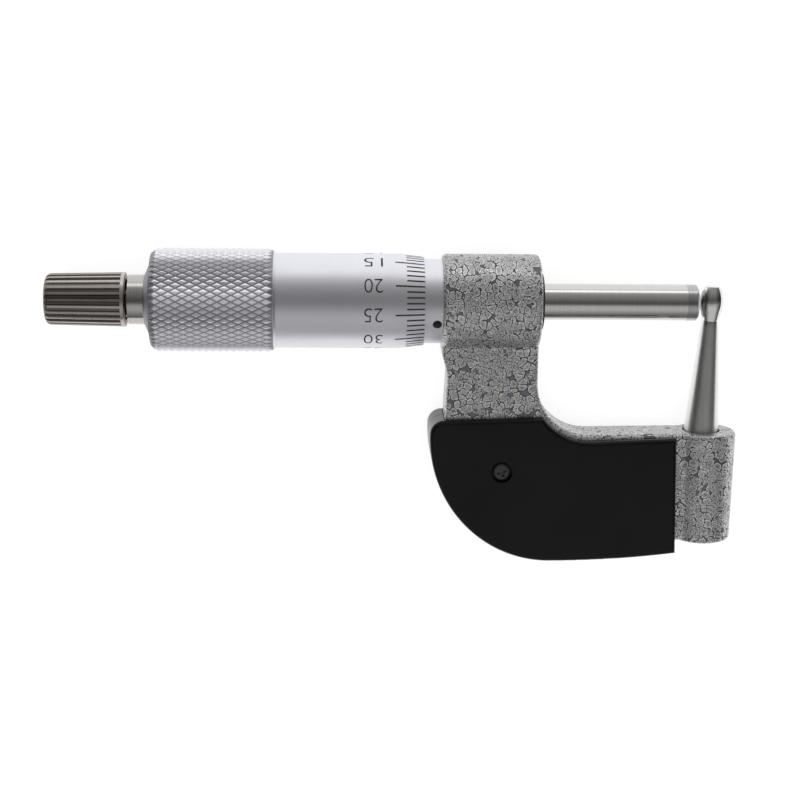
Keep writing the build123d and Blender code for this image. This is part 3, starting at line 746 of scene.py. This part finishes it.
def make_floor():
    """Pale floor. The eye, the metal and glass see it white, with a soft shadow. To all other
    light it is plain and pale. From below it is clear."""
    level = cad_box[0].z
    flat = bmesh.new()
    bmesh.ops.create_circle(flat, cap_ends=True, segments=64, radius=floor_radius)
    mesh = bpy.data.meshes.new("floor")
    flat.to_mesh(mesh)
    flat.free()
    floor = bpy.data.objects.new("floor", mesh)
    floor.location = (0, 0, level)
    bpy.context.scene.collection.objects.link(floor)
    material = bpy.data.materials.new("floor")
    material.use_nodes = True
    tree = material.node_tree
    tree.nodes.remove(tree.nodes["Principled BSDF"])
    matte = put(tree, "ShaderNodeBsdfDiffuse", {"Color": (0.26, 0.26, 0.26, 1.0)})
    plain = put(tree, "ShaderNodeBsdfDiffuse", {"Color": (0.8, 0.8, 0.8, 1.0)})
    glow = put(tree, "ShaderNodeEmission", {"Color": (1.0, 1.0, 1.0, 1.0), "Strength": 0.85})
    both = put(tree, "ShaderNodeAddShader")
    seen = put(tree, "ShaderNodeLightPath")
    straight = put(tree, "ShaderNodeMath", operation="MAXIMUM")
    white_to = put(tree, "ShaderNodeMath", operation="MAXIMUM")
    choice = put(tree, "ShaderNodeMixShader")
    below = put(tree, "ShaderNodeNewGeometry")
    clear = put(tree, "ShaderNodeBsdfTransparent")
    from_below = put(tree, "ShaderNodeMixShader")
    link = tree.links.new
    link(seen.outputs["Is Camera Ray"], straight.inputs[0])
    link(seen.outputs["Is Transmission Ray"], straight.inputs[1])
    link(matte.outputs["BSDF"], both.inputs[0])
    link(glow.outputs["Emission"], both.inputs[1])
    link(straight.outputs["Value"], white_to.inputs[0])
    link(seen.outputs["Is Glossy Ray"], white_to.inputs[1])
    link(white_to.outputs["Value"], choice.inputs["Fac"])
    link(plain.outputs["BSDF"], choice.inputs[1])
    link(both.outputs["Shader"], choice.inputs[2])
    link(below.outputs["Backfacing"], from_below.inputs["Fac"])
    link(choice.outputs["Shader"], from_below.inputs[1])
    link(clear.outputs["BSDF"], from_below.inputs[2])
    link(from_below.outputs["Shader"], tree.nodes["Material Output"].inputs["Surface"])
    mesh.materials.append(material)


def make_world():
    """Studio room, its levels by the angle from straight up towards +Y: a bright window low
    on that side, a dim ceiling, a pale wall on the other side, and darker ends along X."""
    world = bpy.data.worlds.new("studio")
    bpy.context.scene.world = world
    world.use_nodes = True
    tree = world.node_tree
    link = tree.links.new
    way = put(tree, "ShaderNodeTexCoord")
    parts = put(tree, "ShaderNodeSeparateXYZ")
    turn = put(tree, "ShaderNodeMath", operation="ARCTAN2")
    share = put(tree, "ShaderNodeMapRange", {"From Min": -pi, "From Max": pi})
    ramp = put(tree, "ShaderNodeValToRGB")
    levels = (
        (-90, 0.14),
        (-75, 0.26),
        (-60, 0.42),
        (-45, 0.57),
        (-27, 0.55),
        (-18, 0.38),
        (-11, 0.16),
        (0, 0.1),
        (12, 0.15),
        (25, 0.22),
        (40, 0.28),
        (55, 0.36),
        (64, 0.52),
        (72, 0.82),
        (82, 0.7),
        (88, 0.5),
    )
    set_levels(ramp, [((angle + 180) / 360, level) for angle, level in levels])
    link(way.outputs["Generated"], parts.inputs["Vector"])
    link(parts.outputs["Y"], turn.inputs[0])
    link(parts.outputs["Z"], turn.inputs[1])
    link(turn.outputs["Value"], share.inputs["Value"])
    link(share.outputs["Result"], ramp.inputs["Fac"])
    link(ramp.outputs["Color"], tree.nodes["Background"].inputs["Color"])
    sideways = put(tree, "ShaderNodeMath", operation="ABSOLUTE")
    ends = put(
        tree,
        "ShaderNodeMapRange",
        {"From Min": 0.45, "From Max": 0.9, "To Min": 1.0, "To Max": 0.2},
    )
    link(parts.outputs["X"], sideways.inputs[0])
    link(sideways.outputs["Value"], ends.inputs["Value"])
    link(ends.outputs["Result"], tree.nodes["Background"].inputs["Strength"])


def add_softbox(name, place, width, depth, power, mirrored=True):
    """A rectangular soft light that faces the tool. Its width runs along X. One that isn't
    mirrored leaves no band on the metal. Place and size are in metres, power in watts."""
    light = bpy.data.lights.new(name, "AREA")
    light.shape = "RECTANGLE"
    light.size, light.size_y = width, depth
    light.energy = power
    holder = bpy.data.objects.new(name, light)
    holder.location = place
    holder.rotation_mode = "QUATERNION"
    holder.rotation_quaternion = (Vector(light_aim) - Vector(place)).to_track_quat("-Z", "Y")
    holder.visible_glossy = mirrored
    bpy.context.scene.collection.objects.link(holder)


def add_camera():
    """Camera at the photograph's viewing angle."""
    camera = bpy.data.cameras.new("camera")
    camera.lens = camera_lens
    camera.sensor_width = camera_sensor
    camera.clip_start, camera.clip_end = 0.01, 100.0
    holder = bpy.data.objects.new("camera", camera)
    turn = (
        Matrix.Rotation(-camera_pitch, 4, "X")
        @ Matrix.Rotation(-camera_yaw, 4, "Y")
        @ Matrix.Rotation(camera_lean, 4, "Z")
    )
    place = Matrix.Translation(Vector(camera_place) * MM)
    holder.matrix_world = laid_turn @ place @ turn
    bpy.context.scene.collection.objects.link(holder)
    bpy.context.scene.camera = holder


make_floor()
make_world()
add_softbox("key", place=(-0.06, 0.54, 0.115), width=1.0, depth=0.16, power=0.4)
add_softbox("top", place=(-0.05, -0.08, 0.7), width=0.9, depth=0.7, power=4.4, mirrored=False)
add_camera()
bpy.context.scene.view_settings.view_transform = "Standard"
